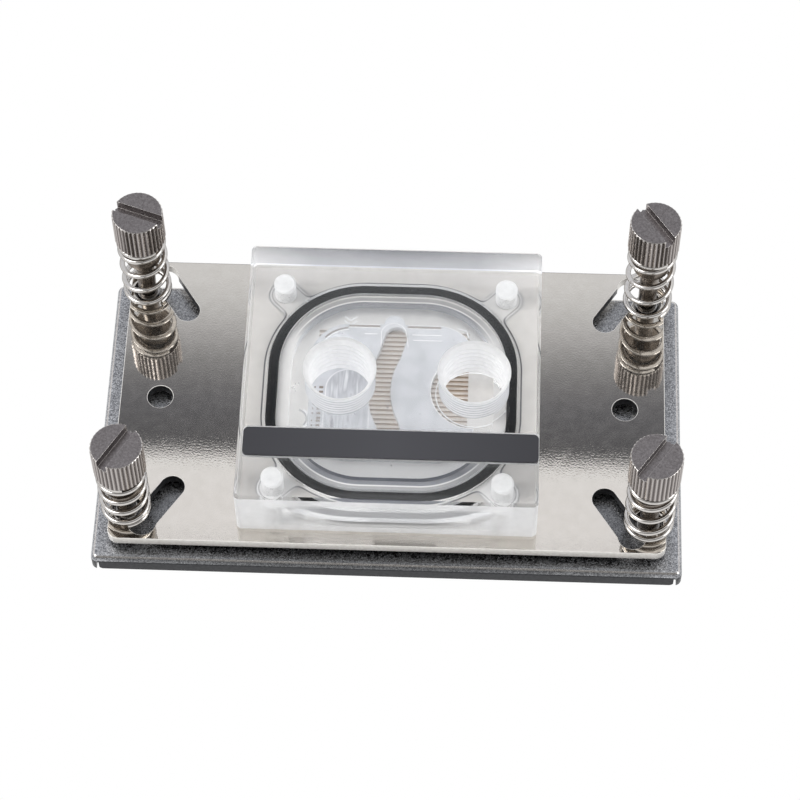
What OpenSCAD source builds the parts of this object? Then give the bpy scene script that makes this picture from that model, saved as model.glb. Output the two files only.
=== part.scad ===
// Water block for a desktop processor: a clear top with two threaded ports over a finned
// cold plate, both held to a flat sheet bracket. The bracket stands on a folded back plate,
// and four sprung thumbscrews reach through it into the back plate's threaded posts.
// All lengths are in millimetres. The origin is the centre of the cold plate's contact
// face, +Z points up through the ports and +X to the right.

/* [Clear top] */
// Side of the square top
block_w = 55; // [53:0.5:60]
// Height of the top
block_h = 12; // [10:0.5:16]
// Radius of the upright corners
block_corner_r = 1; // [0.6:0.1:3]
// Chamfer along the upper and lower edges
block_chamfer = 0.5; // [0.2:0.1:0.8]

/* [Ports] */
// Distance between the two port axes
port_spacing = 24.9; // [23:0.1:27]
// How far the pair of ports lies to the right of the centre
port_shift_x = 2.85; // [0:0.05:4]
// How far the ports lie behind the centre
port_shift_y = 0.45; // [0:0.05:2]
// Radius of the port bore, at the roots of its thread
port_r = 6.58; // [5.5:0.01:7]
// Width of the chamfer round a port's mouth
port_chamfer = 0.25; // [0.1:0.05:0.6]

/* [Trim strip] */
// Distance from the left side of the top to the strip
strip_start = 1; // [0.6:0.1:4]
// Width of the strip
strip_w = 5.9; // [4:0.1:8]
// Thickness of the strip
strip_t = 0.95; // [0.5:0.05:2]
// Distance of the strip's middle in front of the centre
strip_y = 15.5; // [13:0.1:18]
// Radius of the strip's two left corners
strip_corner_r = 1; // [0.5:0.1:2]
// Play round the strip in its recess
strip_play = 0.1; // [0.05:0.05:0.3]

/* [Flow chamber] */
// Wall between the side of the top and the rounded square chamber in its underside
chamber_edge = 8.5; // [8:0.1:10]
// Length of the straight part of each of the chamber's sides
chamber_flat = 10; // [6:0.5:16]
// Height of the chamber above the fins
chamber_h = 2; // [1.7:0.1:2.6]
// Thickness of the jet plate that lies on the fins
jet_t = 1.3; // [0.8:0.1:1.6]
// Gap between the chamber's side and the jet plate, left and right
jet_side_gap = 3.5; // [2:0.1:4]
// Gap between the chamber's side and the jet plate, front and back
jet_end_gap = 4.3; // [2.5:0.1:4.6]
// Width of the curved slot in the jet plate
slot_w = 4.15; // [3:0.05:5]
// Radius of the curved slot's centre line
slot_r = 17; // [15:0.5:40]
// Solid strip that is left between the curved slot's ends and the jet plate's edges
slot_end_wall = 1.1; // [0.6:0.1:3]
// Radius of the jet plate's cut-outs round the ports
jet_port_r = 8; // [7.1:0.1:8.2]

/* [Seal] */
// Distance from the side of the top to the middle of the seal
seal_edge = 5.1; // [4.8:0.05:5.6]
// Length of the straight part of each side of the seal
seal_flat = 10.8; // [8:0.1:16]
// Width of the squeezed cord
seal_cord_w = 1.9; // [1.4:0.1:2.2]
// Height of the squeezed cord
seal_cord_h = 1.4; // [1:0.1:1.6]
// Play beside the cord in its groove
seal_play = 0.15; // [0.05:0.05:0.2]

/* [Cold plate] */
// Distance from the side of the top to the flange's edge
cold_edge = 1.5; // [0.5:0.1:2]
// Corner radius of the flange
cold_corner_r = 4; // [2:0.5:6]
// Thickness of the flange
cold_flange_t = 1.5; // [1.2:0.1:2]

// Height of the contact pad that reaches into the back plate's window
pad_h = 0.3; // [0.2:0.1:0.6]

// Corner radius of the contact pad
pad_r = 3; // [1:0.5:6]
// Distance from the side of the top to the raised part that carries the seal
boss_edge = 3.5; // [3.3:0.1:3.7]
// Length of the straight part of each side of the raised part
boss_flat = 10; // [8:0.5:14]
// Gap between the chamber's side and the ends of the fins
fin_side_gap = 4.8; // [4:0.1:7]
// Distance from one fin to the next
fin_pitch = 1; // [0.8:0.05:1.4]
// Thickness of a fin
fin_t = 0.5; // [0.3:0.05:0.6]
// Height of the fins
fin_h = 2; // [1.2:0.1:2.4]
// Gap between the chamber's side and the outermost grooves
fin_end_gap = 5; // [4.5:0.5:10]

/* [Bracket] */
// Distance from the thumbscrews' axes to the left and right edges
plate_edge_x = 3.25; // [3.1:0.05:6]
// Distance from the thumbscrews' axes to the front and back edges
plate_edge_y = 6.5; // [6:0.1:9]
// Thickness of the bracket, equal to the height of the raised part
plate_t = 2; // [1.5:0.1:3]
// Corner radius of the bracket
plate_corner_r = 2; // [1:0.1:4]
// How far the bracket's hole pattern lies behind the centre of the top
pattern_y = 0.45; // [0:0.05:1]
// Distance that the outer corner holes lie inside the thumbscrews, left and right
hole_inset_x = 3; // [2:0.1:4]
// Distance that the outer corner holes lie outside the thumbscrews, front and back
hole_outset_y = 3; // [2.5:0.1:3.2]
// Radius of the outer corner holes
hole_r = 2.6; // [2.3:0.05:2.7]
// Distance between the thumbscrews, left to right
screw_x = 96; // [94:0.5:97]
// Distance between the thumbscrews, front to back
screw_y = 48; // [46:0.5:49]
// Radius of the holes for the thumbscrews
screw_hole_r = 2.7; // [2.6:0.05:2.9]
// Width of the slanting slots
slant_w = 4.6; // [4:0.1:5]
// Length of the slots inwards from the outer corner holes, left to right
slant_reach_x = 5; // [3:0.1:6]
// Length of the slots inwards from the outer corner holes, front to back
slant_reach_y = 7.6; // [6:0.1:9]
// Distance that the two holes on the centre line lie inside the thumbscrews
mid_inset = 4.25; // [3:0.05:6]
// Radius of the holes on the centre line
mid_r = 2.4; // [1.8:0.05:2.8]
// Play between the bracket and the cold plate
plate_play = 0.25; // [0.15:0.05:0.4]

/* [Base screws] */
// Distance from the side of the top to the screws that hold the cold plate
base_edge = 6.5; // [6.2:0.1:7]
// Radius of the screw shank
base_r = 1.95; // [1.6:0.05:2.1]
// Radius of the countersunk head
base_head_r = 3.7; // [3:0.1:4]
// Length of the screws
base_l = 8.5; // [6:0.5:9]
// Depth of the tapped holes in the top
base_hole_depth = 6.8; // [6:0.1:8]
// Play round the shank in its holes
base_play = 0.1; // [0.05:0.05:0.2]
// Radius of the ear round each of these screws on the raised part
ear_r = 3; // [2.6:0.1:3.2]
// Side of the hexagon socket, across its corners
base_socket_w = 2.8; // [2:0.1:3.2]
// Depth of the hexagon socket
base_socket_depth = 1.4; // [0.8:0.1:2]

/* [Back plate] */
// Distance that the back plate reaches past the bracket, left and right
tray_edge = 3.15; // [2.5:0.05:6]
// Distance of its front edge in front of the thumbscrews' axes
tray_front_margin = 9.1; // [5:0.1:12]
// Distance of its back edge behind the posts
tray_back_margin = 0.4; // [0.3:0.05:3]
// Thickness of the sheet
tray_t = 1; // [0.8:0.1:1.1]
// Outer height of the folded rim
tray_h = 3.6; // [3:0.1:5]
// Outer radius of the folded edge and of the corners
tray_bend_r = 1.3; // [1.2:0.1:2]
// Width of the relief notches beside the corners
tray_notch_w = 0.5; // [0.3:0.1:1]
// Gap between the contact pad and the square window in the back plate
window_gap = 2; // [0.5:0.1:3]
// Corner radius of the window
window_r = 4; // [2:0.5:8]

/* [Threaded posts] */
// Radius of the collar that stands on the back plate
post_r = 3; // [2.8:0.1:3.2]
// Height of that collar
post_collar_h = 1.2; // [0.8:0.1:1.4]
// Radius of the post in the sheet and in the bracket's hole
post_shank_r = 2.3; // [2.2:0.05:2.4]
// Height of the post above the back plate
post_top = 3.2; // [2.5:0.1:3.4]
// Play between the post and its hole in the sheet
post_play = 0.02; // [0.01:0.01:0.05]

/* [Thumbscrews] */
// Radius of the knurled head
head_r = 4.8; // [4.4:0.1:5.4]
// Height of the head
head_h = 8; // [6:0.5:10]
// Number of knurl teeth
knurl_teeth = 36; // [20:2:48]
// Depth of the knurl
knurl_depth = 0.25; // [0.1:0.05:0.5]
// Chamfer at the head's two rims
head_chamfer = 0.25; // [0.1:0.05:0.5]
// Width of the driver slot
driver_w = 2; // [1:0.1:3]
// Depth of the driver slot
driver_depth = 1.8; // [1:0.1:3]
// Radius of the collar under the head
collar_r = 3.45; // [2.8:0.05:3.5]
// Length of the collar under the head
collar_h = 6; // [3:0.5:7]
// Radius of the threaded shaft
shaft_r = 1.75; // [1.5:0.05:1.9]
// Radial play between the shaft and the post's thread
thread_play = 0.05; // [0.02:0.01:0.1]
// Length of a thumbscrew below its head
shaft_l = 21.3; // [20.5:0.1:21.5]
// Height of the back left head's top above the bracket
head_top_bl = 25.9; // [23:0.1:27]
// Height of the back right head's top above the bracket
head_top_br = 27.1; // [23:0.1:28]
// Height of the front left head's top above the bracket
head_top_fl = 22.5; // [22.4:0.1:26]
// Height of the front right head's top above the bracket
head_top_fr = 24.3; // [23:0.1:26]

/* [Springs] */
// Outer radius of a spring
spring_r = 4.65; // [4.6:0.05:5]
// Wire diameter
wire_d = 1; // [0.8:0.05:1.05]
// Number of turns
spring_turns = 5; // [4:0.5:6]
// Turns at each end that lie nearly flat
closed_turns = 0.75; // [0.5:0.05:1]
// Gap at each end of a spring
spring_gap = 0.1; // [0.05:0.05:0.3]

/* [Hidden] */
$fn = 64;

// How far a cutting shape reaches past the face that it cuts
over = 1;
// How much wider a slot's round ends are than its straight sides
end_swell = 0.02;
// Sizes that follow the top's side
strip_end_gap = 0.1;
strip_l = block_w - strip_start - strip_end_gap;
chamber_w = block_w - 2 * chamber_edge;
chamber_r = (chamber_w - chamber_flat) / 2;
seal_w = block_w - 2 * seal_edge;
seal_r = (seal_w - seal_flat) / 2;
cold_w = block_w - 2 * cold_edge;
boss_w = block_w - 2 * boss_edge;
boss_r = (boss_w - boss_flat) / 2;
base_pitch = block_w - 2 * base_edge;
// The contact pad keeps clear of the heads of the screws round it
pad_screw_gap = 0.3;
pad_w = base_pitch - 2 * (base_head_r + pad_screw_gap);
window_w = pad_w + 2 * window_gap;
// Sizes that follow the chamber
jet_w = chamber_w - 2 * jet_side_gap;
jet_d = chamber_w - 2 * jet_end_gap;
fin_field_w = chamber_w - 2 * fin_side_gap;
fin_grooves = floor((chamber_w - 2 * fin_end_gap) / fin_pitch + 0.01);
// Sizes that follow the thumbscrew pattern
plate_w = screw_x + 2 * plate_edge_x;
plate_d = screw_y + 2 * plate_edge_y;
hole_x = screw_x - 2 * hole_inset_x;
hole_y = screw_y + 2 * hole_outset_y;
slant_x = hole_x - 2 * slant_reach_x;
slant_y = hole_y - 2 * slant_reach_y;
mid_x = screw_x - 2 * mid_inset;
tray_w = plate_w + 2 * tray_edge;
// Heights of the stack, from the contact face upwards
plate_bottom = pad_h + cold_flange_t;
plate_top = plate_bottom + plate_t;
block_top = plate_top + block_h;
chamber_top = plate_top + chamber_h;
// The ports break into the chamber by this much
port_break = 0.1;
port_floor = chamber_top - port_break;
port_left_x = port_shift_x - port_spacing / 2;
port_right_x = port_shift_x + port_spacing / 2;
strip_x = block_w / 2 - strip_end_gap - strip_l / 2;
// The jet plate's back edge lies this far behind the centre
jet_back = jet_d / 2;
jet_corner_r = 7.5;
jet_bump_r = 2;
jet_recess_t = jet_t / 2;
// Point of the curved slot's middle line that lies furthest left
slot_bow_x = -2.35;
slot_bow_y = port_shift_y;
// Ends of the slot's middle line, measured from that point, with a straight part after the curve
slot_end_x = 2.8;
slot_end_y = jet_d / 2 - slot_end_wall - slot_w / 2;
slot_straight_y = 4.05;
slot_half_angle = asin((slot_end_y - slot_straight_y) / slot_r);
// Corner patterns: one sign pair for each corner
BL = [-1, 1];
BR = [1, 1];
FL = [-1, -1];
FR = [1, -1];
CORNERS = [BL, BR, FL, FR];
// Back plate edges, from the thumbscrew pattern
screw_back_y = pattern_y + screw_y / 2;
screw_front_y = pattern_y - screw_y / 2;
tray_back = screw_back_y + post_r + tray_back_margin;
tray_front = screw_front_y - tray_front_margin;
tray_d = tray_back - tray_front;
tray_mid_y = (tray_back + tray_front) / 2;
flange_corner_r = 0.8;
ear_fillet_r = 1.5;
post_bottom = -tray_h + 0.3;
post_chamfer = 0.2;
// Angle of each driver slot and of each spring's lower end, from +X towards +Y
driver_angle_bl = -19;
driver_angle_br = -55;
driver_angle_fl = 59;
driver_angle_fr = 55;
spring_angle_bl = -47;
spring_angle_br = -54;
spring_angle_fl = -81;
spring_angle_fr = 108;
// Sides of the wire's section and rings in one turn
wire_sides = 8;
rings_per_turn = 16;
// Share of the open turns over which the pitch changes at each end
pitch_ramp = 0.15;

// Rounded square or rectangle about the origin, made of straight and round pieces
module rounded_rect(w, d, r) {
    square([w - 2 * r, d], center = true);
    square([w, d - 2 * r], center = true);
    for (c = CORNERS) translate([c[0] * (w / 2 - r), c[1] * (d / 2 - r)]) circle(r);
}

// Slot with round ends between two points
module slot_between(a, b, w) {
    along = b - a;
    translate(a) rotate(atan2(along[1], along[0])) translate([0, -w / 2]) square([norm(along), w]);
    for (end = [a, b]) translate(end) circle(w / 2 + end_swell);
}

// Rectangle with its four corners cut off at 45 degrees
module chamfered_rect(w, h, c) {
    polygon([[-w / 2 + c, 0], [w / 2 - c, 0], [w / 2, c], [w / 2, h - c],
             [w / 2 - c, h], [-w / 2 + c, h], [-w / 2, h - c], [-w / 2, c]]);
}

// Ring that follows a rounded square, with the child as its section: x outwards, y up
module rounded_ring(w, r) {
    straight = w - 2 * r;
    for (q = [0 : 3]) rotate(90 * q) {
        translate([w / 2, straight / 2, 0]) rotate([90, 0, 0]) linear_extrude(straight) children();
        translate([w / 2 - r, w / 2 - r, 0]) rotate_extrude(angle = 90) translate([r, 0]) children();
    }
}

module top_block() {
    color("white", 0.4) difference() {
        intersection() {
            translate([0, 0, plate_top]) linear_extrude(block_h) rounded_rect(block_w, block_w, block_corner_r);
            translate([0, block_w, plate_top]) rotate([90, 0, 0]) linear_extrude(2 * block_w)
                chamfered_rect(block_w, block_h, block_chamfer);
            translate([-block_w, 0, plate_top]) rotate([90, 0, 90]) linear_extrude(2 * block_w)
                chamfered_rect(block_w, block_h, block_chamfer);
        }
        for (x = [port_left_x, port_right_x]) translate([x, port_shift_y, 0]) {
            translate([0, 0, port_floor]) cylinder(h = block_top - port_floor + over, r = port_r);
            translate([0, 0, block_top - port_chamfer])
                cylinder(h = port_chamfer + over, r1 = port_r, r2 = port_r + port_chamfer + over);
        }
        translate([0, 0, plate_top - over]) linear_extrude(chamber_h + over) rounded_rect(chamber_w, chamber_w, chamber_r);
        translate([0, 0, plate_top - over]) linear_extrude(seal_cord_h + over) difference() {
            seal_band(seal_cord_w / 2 + seal_play);
            seal_band(-seal_cord_w / 2 - seal_play);
        }
        translate([0, 0, block_top - strip_t]) linear_extrude(strip_t + over) {
            strip_outline(strip_play);
            translate([strip_x, -strip_y - strip_w / 2 - strip_play])
                square([strip_l / 2 + strip_end_gap + over, strip_w + 2 * strip_play]);
        }
        for (c = CORNERS) translate([c[0] * base_pitch / 2, c[1] * base_pitch / 2, plate_top - over])
            cylinder(h = base_hole_depth + over, r = base_r + base_play);
    }
}

// Area inside a line that runs a given distance outside the middle of the seal
module seal_band(outside) {
    rounded_rect(seal_w + 2 * outside, seal_w + 2 * outside, seal_r + outside);
}

// Rounded square of the cold plate's raised part with an ear round each base screw, a given distance larger
module boss_outline(grow) {
    ear_u = (base_pitch / 2 - boss_w / 2 + boss_r) * sqrt(2);
    fillet_v = ear_r + ear_fillet_r;
    fillet_u = sqrt(pow(boss_r + ear_fillet_r, 2) - pow(fillet_v, 2));
    touch_v = fillet_v * (boss_r + grow) / (boss_r + ear_fillet_r);
    rounded_rect(boss_w + 2 * grow, boss_w + 2 * grow, boss_r + grow);
    for (q = [0 : 3]) rotate(90 * q) translate([boss_w / 2 - boss_r, boss_w / 2 - boss_r]) rotate(45) {
        translate([ear_u, 0]) circle(ear_r + grow + end_swell);
        translate([0, -ear_r - grow]) square([ear_u, 2 * (ear_r + grow)]);
        difference() {
            translate([0, -touch_v]) square([fillet_u, 2 * touch_v]);
            for (s = [-1, 1]) translate([fillet_u, s * fillet_v]) circle(ear_fillet_r - grow + end_swell);
        }
    }
}

module trim_strip() {
    color("dimgray") translate([0, 0, block_top - strip_t]) linear_extrude(strip_t) strip_outline(0);
}

// Outline of the strip, round at its left corners and square at the right, and a given distance larger
module strip_outline(grow) {
    translate([strip_x, -strip_y]) {
        rounded_rect(strip_l + 2 * grow, strip_w + 2 * grow, strip_corner_r + grow);
        translate([0, -strip_w / 2 - grow]) square([strip_l / 2 + grow, strip_w + 2 * grow]);
    }
}

module o_ring() {
    color("black") translate([0, 0, plate_top]) rounded_ring(seal_w, seal_r)
        chamfered_rect(seal_cord_w, seal_cord_h, seal_cord_h * 0.28);
}

// Clear plate on the fins: coolant from the left port enters its slot and leaves at the right port
module jet_plate() {
    color("whitesmoke", 0.6) translate([0, 0, plate_top]) difference() {
        linear_extrude(jet_t) {
            rounded_rect(jet_w, jet_d, jet_corner_r);
            translate([0, jet_back]) circle(jet_bump_r);
        }
        translate([slot_bow_x + slot_r, slot_bow_y, -over]) rotate(180 - slot_half_angle)
            rotate_extrude(angle = 2 * slot_half_angle) translate([slot_r - slot_w / 2, 0])
                square([slot_w, jet_t + 2 * over]);
        translate([slot_bow_x, slot_bow_y, -over]) linear_extrude(jet_t + 2 * over) for (s = [-1, 1])
            slot_between([slot_r * (1 - cos(slot_half_angle)), s * slot_r * sin(slot_half_angle)],
                         [slot_end_x, s * slot_end_y], slot_w);
        translate([port_right_x, port_shift_y, -over]) cylinder(h = jet_t + 2 * over, r = jet_port_r);
        translate([port_left_x, port_shift_y, jet_t - jet_recess_t]) cylinder(h = jet_t, r = jet_port_r);
    }
}

module cold_plate() {
    groove_w = fin_pitch - fin_t;
    color("gainsboro") difference() {
        union() {
            linear_extrude(pad_h + over / 2) rounded_rect(pad_w, pad_w, pad_r);
            translate([0, 0, pad_h]) linear_extrude(cold_flange_t) rounded_rect(cold_w, cold_w, cold_corner_r);
            translate([0, 0, pad_h]) linear_extrude(plate_top - pad_h) boss_outline(0);
        }
        for (i = [0 : fin_grooves - 1])
            translate([-fin_field_w / 2, (i - (fin_grooves - 1) / 2) * fin_pitch - groove_w / 2, plate_top - fin_h])
                cube([fin_field_w, groove_w, fin_h + over]);
        for (c = CORNERS) translate([c[0] * base_pitch / 2, c[1] * base_pitch / 2, 0]) {
            translate([0, 0, -over]) cylinder(h = plate_top + 2 * over, r = base_r + base_play);
            countersink(base_play);
        }
    }
}

// Cone of a 90 degree countersunk head with its wide end at the flange's underside
module countersink(play) {
    translate([0, 0, pad_h]) cylinder(h = base_head_r - base_r, r1 = base_head_r + play, r2 = base_r + play);
}

module base_screw(c) {
    color("silver") translate([c[0] * base_pitch / 2, c[1] * base_pitch / 2, 0]) difference() {
        union() {
            countersink(0);
            translate([0, 0, pad_h]) cylinder(h = base_l, r = base_r);
        }
        translate([0, 0, pad_h - over]) cylinder(h = base_socket_depth + over, r = base_socket_w / 2, $fn = 6);
    }
}

module bracket() {
    color("silver") translate([0, 0, plate_bottom]) linear_extrude(plate_t) difference() {
        translate([0, pattern_y]) rounded_rect(plate_w, plate_d, plate_corner_r);
        boss_outline(plate_play);
        for (c = CORNERS) translate([0, pattern_y]) {
            translate([c[0] * hole_x / 2, c[1] * hole_y / 2]) circle(hole_r);
            translate([c[0] * screw_x / 2, c[1] * screw_y / 2]) circle(screw_hole_r);
            slot_between([c[0] * hole_x / 2, c[1] * hole_y / 2], [c[0] * slant_x / 2, c[1] * slant_y / 2], slant_w);
        }
        for (s = [-1, 1]) translate([s * mid_x / 2, pattern_y]) circle(mid_r);
    }
}

// Section of the folded edge: a quarter bend and the rim below it, x outwards from the bend's centre
module folded_edge() {
    translate([0, -tray_bend_r]) intersection() {
        difference() {
            circle(tray_bend_r);
            circle(tray_bend_r - tray_t);
        }
        square(tray_bend_r + over);
    }
    translate([tray_bend_r - tray_t, -tray_h]) square([tray_t, tray_h - tray_bend_r]);
}

module back_plate() {
    inner_w = tray_w - 2 * tray_bend_r;
    inner_d = tray_d - 2 * tray_bend_r;
    notch_x = tray_w / 2 - tray_t - tray_notch_w;
    color("slategray") translate([0, 0, pad_h]) difference() {
        translate([0, tray_mid_y, 0]) {
            translate([0, 0, -tray_t]) linear_extrude(tray_t) square([inner_w, inner_d], center = true);
            for (s = [0, 180]) rotate(s) {
                translate([inner_w / 2, inner_d / 2, 0]) rotate([90, 0, 0]) linear_extrude(inner_d) folded_edge();
                translate([-inner_w / 2, inner_d / 2, 0]) rotate([90, 0, 90]) linear_extrude(inner_w) folded_edge();
                translate([inner_w / 2, inner_d / 2, 0]) rotate_extrude(angle = 90) folded_edge();
                translate([-inner_w / 2, inner_d / 2, 0]) rotate(90) rotate_extrude(angle = 90) folded_edge();
            }
        }
        translate([0, 0, -tray_t - over]) linear_extrude(tray_t + 2 * over) rounded_rect(window_w, window_w, window_r);
        for (c = CORNERS) at_screw(c) translate([0, 0, -tray_t - over])
            cylinder(h = tray_t + 2 * over, r = post_shank_r + post_play);
        for (sx = [-1, 1], sy = [-1, 1]) translate([0, tray_mid_y, 0]) scale_sign(sx, sy)
            translate([notch_x, tray_d / 2 - tray_bend_r - over, -tray_h - over])
                rotate([90, 0, 0]) translate([0, 0, -tray_bend_r - 2 * over]) linear_extrude(tray_bend_r + 2 * over)
                    flange_notch();
    }
}

// Outline of a relief notch with the rim's rounded lower corner beside it, seen from the front
module flange_notch() {
    notch_h = tray_h - tray_bend_r;
    square([tray_notch_w, over + notch_h]);
    translate([-flange_corner_r, over]) difference() {
        translate([0, -over]) square([flange_corner_r, over + flange_corner_r]);
        translate([0, flange_corner_r]) circle(flange_corner_r);
    }
}

// Mirrors the child to one of the four corners
module scale_sign(sx, sy) {
    mirror([sx < 0 ? 1 : 0, 0, 0]) mirror([0, sy < 0 ? 1 : 0, 0]) children();
}

// Moves the child to the axis of a thumbscrew
module at_screw(c) {
    translate([c[0] * screw_x / 2, pattern_y + c[1] * screw_y / 2, 0]) children();
}

module post(c) {
    color("darkgray") translate([0, 0, pad_h]) at_screw(c) rotate_extrude() polygon([
        [shaft_r + thread_play, post_bottom], [post_shank_r, post_bottom],
        [post_shank_r, 0], [post_r, 0], [post_r, post_collar_h - post_chamfer], [post_r - post_chamfer, post_collar_h],
        [post_shank_r, post_collar_h], [post_shank_r, post_top - post_chamfer],
        [post_shank_r - post_chamfer, post_top], [shaft_r + thread_play, post_top]]);
}

// Outline of the knurled head
module knurl() {
    tooth = 360 / knurl_teeth;
    polygon([for (i = [0 : knurl_teeth - 1], k = [0, 1])
        (k == 0 ? head_r - knurl_depth : head_r) * [cos((i + k / 2) * tooth), sin((i + k / 2) * tooth)]]);
}

module thumbscrew(c, head_top, driver_angle) {
    head_bottom = plate_top + head_top - head_h;
    color("dimgray") at_screw(c) translate([0, 0, head_bottom]) rotate(driver_angle) difference() {
        union() {
            intersection() {
                linear_extrude(head_h) knurl();
                rotate_extrude() polygon([[0, 0], [head_r - head_chamfer, 0], [head_r, head_chamfer],
                    [head_r, head_h - head_chamfer], [head_r - head_chamfer, head_h], [0, head_h]]);
            }
            translate([0, 0, -collar_h]) cylinder(h = collar_h + over, r = collar_r);
            translate([0, 0, -shaft_l]) cylinder(h = shaft_l, r = shaft_r);
        }
        translate([-2 * head_r, -driver_w / 2, head_h - driver_depth])
            cube([4 * head_r, driver_w, driver_depth + over]);
    }
}

// Share of the open turns' rise that is reached at a share u of them, with the pitch eased at both ends
function eased(u) =
    u <= 0 ? 0 : u >= 1 ? 1 :
    u < pitch_ramp ? u * u / (2 * pitch_ramp * (1 - pitch_ramp)) :
    u > 1 - pitch_ramp ? 1 - (1 - u) * (1 - u) / (2 * pitch_ramp * (1 - pitch_ramp)) :
    (u - pitch_ramp / 2) / (1 - pitch_ramp);

// Height of the wire's centre after t turns, for a spring of a given length
function wire_z(t, length) =
    let (flat_pitch = wire_d * 1.05, open_turns = spring_turns - 2 * closed_turns,
         open_rise = length - wire_d - flat_pitch * spring_turns)
    wire_d / 2 + flat_pitch * t + open_rise * eased((t - closed_turns) / open_turns);

// Right-hand compression spring between the bracket and a thumbscrew's head
module spring(c, head_top, start_angle) {
    length = head_top - head_h - 2 * spring_gap;
    coil_r = spring_r - wire_d / 2;
    steps = spring_turns * rings_per_turn;
    points = [for (i = [0 : steps], k = [0 : wire_sides - 1])
        let (t = i / rings_per_turn, a = start_angle + 360 * t, s = 360 * k / wire_sides,
             r = coil_r + wire_d / 2 * cos(s))
        [r * cos(a), r * sin(a), wire_z(t, length) + wire_d / 2 * sin(s)]];
    sides = [for (i = [0 : steps - 1], k = [0 : wire_sides - 1])
        let (n = (k + 1) % wire_sides, a = i * wire_sides, b = a + wire_sides)
        [a + k, b + k, b + n, a + n]];
    first_cap = [for (k = [0 : wire_sides - 1]) k];
    last_cap = [for (k = [wire_sides - 1 : -1 : 0]) steps * wire_sides + k];
    color("lightgray") at_screw(c) translate([0, 0, plate_top + spring_gap])
        polyhedron(points, concat([first_cap, last_cap], sides), convexity = 10);
}

top_block();
trim_strip();
o_ring();
jet_plate();
cold_plate();
bracket();
back_plate();
base_screw(BL);  // base_screw_bl
base_screw(BR);  // base_screw_br
base_screw(FL);  // base_screw_fl
base_screw(FR);  // base_screw_fr
post(BL);  // post_bl
post(BR);  // post_br
post(FL);  // post_fl
post(FR);  // post_fr
thumbscrew(BL, head_top_bl, driver_angle_bl);  // thumbscrew_bl
thumbscrew(BR, head_top_br, driver_angle_br);  // thumbscrew_br
thumbscrew(FL, head_top_fl, driver_angle_fl);  // thumbscrew_fl
thumbscrew(FR, head_top_fr, driver_angle_fr);  // thumbscrew_fr
spring(BL, head_top_bl, spring_angle_bl);  // spring_bl
spring(BR, head_top_br, spring_angle_br);  // spring_br
spring(FL, head_top_fl, spring_angle_fl);  // spring_fl
spring(FR, head_top_fr, spring_angle_fr);  // spring_fr
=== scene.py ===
import math
import bpy
import bmesh
from mathutils import Matrix, Vector


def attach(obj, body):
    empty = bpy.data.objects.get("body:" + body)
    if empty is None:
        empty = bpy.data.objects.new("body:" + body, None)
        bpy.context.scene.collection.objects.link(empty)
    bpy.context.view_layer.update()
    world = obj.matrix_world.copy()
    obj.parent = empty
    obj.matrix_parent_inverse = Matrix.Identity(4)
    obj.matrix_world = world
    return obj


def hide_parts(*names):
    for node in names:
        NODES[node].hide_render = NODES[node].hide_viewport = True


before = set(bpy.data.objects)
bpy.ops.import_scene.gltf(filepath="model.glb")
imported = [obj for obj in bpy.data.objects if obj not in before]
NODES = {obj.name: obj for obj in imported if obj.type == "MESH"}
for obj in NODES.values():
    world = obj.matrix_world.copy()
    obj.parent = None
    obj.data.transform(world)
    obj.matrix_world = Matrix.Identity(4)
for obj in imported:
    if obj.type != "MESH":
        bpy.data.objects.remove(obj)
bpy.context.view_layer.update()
MM = 0.001

# Sizes in millimetres, as in the part's source, with heights above the contact face.
BLOCK_W, BLOCK_TOP, BLOCK_CORNER_R, BLOCK_CHAMFER = 55.0, 15.8, 1.0, 0.5
PLATE_TOP = 3.8  # upper face of the bracket and the cold plate, on which the clear top stands
PORTS = ((-9.6, 0.45), (15.3, 0.45))
PORT_R, PORT_CREST_R, PORT_PITCH = 6.58, 5.75, 1.337
PORT_MOUTH = ((5.4, -1.43), (7.33, 0.5))  # radius and height over the upper face, of the cone at each port's mouth
TAPPED_AT, TAPPED_R, TAPPED_CREST_R, TAPPED_PITCH, TAPPED_TOP = 21.0, 2.05, 1.72, 0.7, 10.6
CHAMBER_W, CHAMBER_R, CHAMBER_TOP = 38.0, 14.0, 5.8
SEAL_W, SEAL_R, SEAL_CORD_W, SEAL_CORD_H, SEAL_PLAY = 44.8, 17.0, 1.9, 1.4, 0.15
STRIP = (-26.5, 27.4, -18.45, -12.55, 14.85)  # x from, x to, y from, y to and underside
STRIP_CORNER_R = 1.0
JET_T, JET_RECESS_T, JET_RECESS_R = 1.3, 0.65, 7.87
BOSS_W, BOSS_R = 48.0, 19.0
FIN_FIELD_W, FIN_FIELD_D, FIN_FLOOR, FIN_SHOWN_DEPTH = 28.4, 28.0, 1.8, 0.3
# Beyond that distance the bracket's sides get a painted highlight.
BRACKET_Y, BRIGHT_FROM = 0.45, 26.0  # the bracket's middle, and how far from it its sides turn bright
HEAD_R, KNURL_DEPTH, HEAD_H = 4.8, 0.25, 8.0
WIRE_D, COIL_R, COIL_TURNS, CLOSED_TURNS, COIL_GAP = 1.0, 4.15, 5.0, 0.75, 0.1
# Each thumbscrew's x, y, height of the head's top over the bracket and angle at which its spring starts.
SCREWS = {"bl": (-48.0, 24.45, 25.9, -47.0), "br": (48.0, 24.45, 27.1, -54.0),
          "fl": (-48.0, -23.55, 22.5, -81.0), "fr": (48.0, -23.55, 24.3, 108.0)}

SEAT = 0.02  # kept between faces that touch in the CAD, so that no two lie in one plane
WHITE = (1.0, 1.0, 1.0)


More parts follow.
